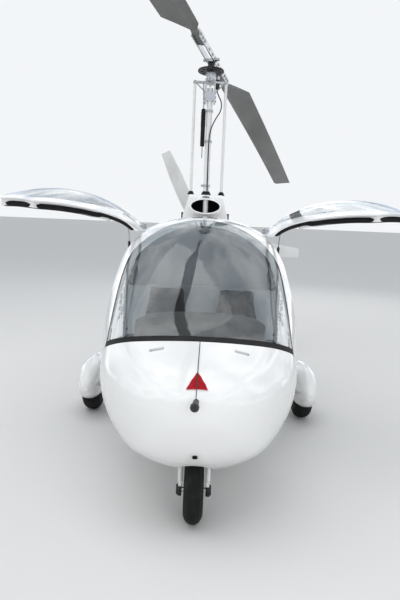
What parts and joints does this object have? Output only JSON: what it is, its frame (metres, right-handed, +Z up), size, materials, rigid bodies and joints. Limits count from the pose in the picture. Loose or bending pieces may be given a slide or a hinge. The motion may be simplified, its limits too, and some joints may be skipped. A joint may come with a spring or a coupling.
{
  "type": "two-seat side-by-side gyrocopter",
  "caption": "Enclosed two-seat gyrocopter: open gull-wing doors, a free-turning rotor on a mast, a pusher propeller, wheels with spats and a finned tail.",
  "frame": {"origin": "on the ground under the centre of the rotor head", "axes": "+Y aft along the craft, +X to the craft's left side, +Z up"},
  "size_m": [2.4214, 8.2371, 3.2285],
  "materials": {
    "white_shell": "gloss white gelcoat over composite",
    "glazing": "clear acrylic",
    "grey_steel": "satin",
    "white_tube": "gloss white paint",
    "grey_alloy": "machined",
    "black_trim": "satin black",
    "seat_cloth": "woven",
    "engine_alloy": "cast",
    "exhaust_steel": "heat-stained",
    "radiator_core": "matt black",
    "tyre_rubber": "matt",
    "rim_alloy": "cast",
    "black_steel": "satin black",
    "blade_grey": "dull grey",
    "propeller_white": "gloss"
  },
  "bodies": {
    "airframe": {"hull_tub": "white_shell", "cabin_frame": "white_shell", "windscreen": "glazing", "boat_tail": "white_shell", "mast_fairing": "white_shell", "mast": "grey_steel", "pushrods": "white_tube", "rotor_head": "grey_alloy", "door_hinges": "grey_alloy", "instrument_panel": "black_trim", "seat_cushions": "seat_cloth", "seat_backs": "seat_cloth", "control_sticks": "black_trim", "engine_case": "engine_alloy", "engine_cylinders": "engine_alloy", "engine_intake": "engine_alloy", "exhaust": "exhaust_steel", "engine_mount": "grey_steel", "radiator": "radiator_core", "tail_boom": "white_tube", "tailplane": "white_shell", "tail_fins": "white_shell", "gear_spring": "black_trim", "spats": "white_shell", "pitot_probe": "white_tube"},
    "nose_steer": {"nose_fork": "white_tube", "nose_axle": "grey_steel"},
    "nose_wheel": {"nose_tyre": "tyre_rubber", "nose_rim": "rim_alloy"},
    "wheel_left": {"main_tyre_left": "tyre_rubber", "main_rim_left": "rim_alloy"},
    "wheel_right": {"main_tyre_right": "tyre_rubber", "main_rim_right": "rim_alloy"},
    "rotor": {"ring_gear": "black_steel", "hub_bar": "grey_alloy", "rotor_blades": "blade_grey"},
    "propeller": {"propeller_hub": "grey_alloy", "propeller_blades": "propeller_white"},
    "leaf_left": {"door_left": "white_shell", "door_pane_left": "glazing"},
    "leaf_right": {"door_right": "white_shell", "door_pane_right": "glazing"},
    "tube_left": {"strut_tube_left": "black_steel"},
    "stem_left": {"strut_rod_left": "grey_steel"},
    "tube_right": {"strut_tube_right": "black_steel"},
    "stem_right": {"strut_rod_right": "grey_steel"},
    "rudder_leaf": {"rudder": "white_shell"}
  },
  "joints": [
    {"name": "nose_steering", "type": "hinge", "parent": "airframe", "child": "nose_steer", "pos_m": [0, -1.87, 0.5], "axis": [0, 0, 1], "range_deg": [-25, 25]},
    {"name": "nose_wheel_spin", "type": "hinge", "parent": "nose_steer", "child": "nose_wheel", "pos_m": [0, -1.89, 0.17], "axis": [1, 0, 0], "continuous": true},
    {"name": "wheel_left_spin", "type": "hinge", "parent": "airframe", "child": "wheel_left", "pos_m": [0.818, -0.11, 0.19], "axis": [1, 0, 0], "continuous": true},
    {"name": "wheel_right_spin", "type": "hinge", "parent": "airframe", "child": "wheel_right", "pos_m": [-0.818, -0.11, 0.19], "axis": [1, 0, 0], "continuous": true},
    {"name": "rotor_spin", "type": "hinge", "parent": "airframe", "child": "rotor", "pos_m": [0, 0, 2.612], "axis": [0, 0.1461, 0.9893], "continuous": true},
    {"name": "propeller_spin", "type": "hinge", "parent": "airframe", "child": "propeller", "pos_m": [0, 0.77, 1.299], "axis": [0, 1, 0], "continuous": true},
    {"name": "door_left_swing", "type": "hinge", "parent": "airframe", "child": "leaf_left", "pos_m": [0.42, 0, 1.425], "axis": [0, -1, 0], "range_deg": [-93, 0]},
    {"name": "door_right_swing", "type": "hinge", "parent": "airframe", "child": "leaf_right", "pos_m": [-0.42, 0, 1.425], "axis": [0, 1, 0], "range_deg": [-93, 0]},
    {"name": "rudder_swing", "type": "hinge", "parent": "airframe", "child": "rudder_leaf", "pos_m": [0, 2.409, 1], "axis": [0, 0, 1], "range_deg": [-25, 25]},
    {"name": "strut_tube_left_swing", "type": "hinge", "parent": "airframe", "child": "tube_left", "pos_m": [0.47, -0.9, 1.26], "axis": [-0.8603, -0.1841, 0.4754], "range_deg": [0, 25.41]},
    {"name": "strut_rod_left_slide", "type": "slide", "parent": "tube_left", "child": "stem_left", "axis": [-0.1405, -0.8108, -0.5682], "range_m": [0, 0.05737]},
    {"name": "strut_tube_right_swing", "type": "hinge", "parent": "airframe", "child": "tube_right", "pos_m": [-0.47, -0.9, 1.26], "axis": [-0.8603, 0.1841, -0.4754], "range_deg": [0, 25.41]},
    {"name": "strut_rod_right_slide", "type": "slide", "parent": "tube_right", "child": "stem_right", "axis": [0.1405, -0.8108, -0.5682], "range_m": [0, 0.05737]}
  ],
  "couplings": [
    {"joint": "strut_tube_left_swing", "follows": "door_left_swing", "ratio": -0.27296},
    {"joint": "strut_rod_left_slide", "follows": "door_left_swing", "m_per_rad": -0.035039},
    {"joint": "strut_tube_right_swing", "follows": "door_right_swing", "ratio": -0.27296},
    {"joint": "strut_rod_right_slide", "follows": "door_right_swing", "m_per_rad": -0.035039}
  ]
}
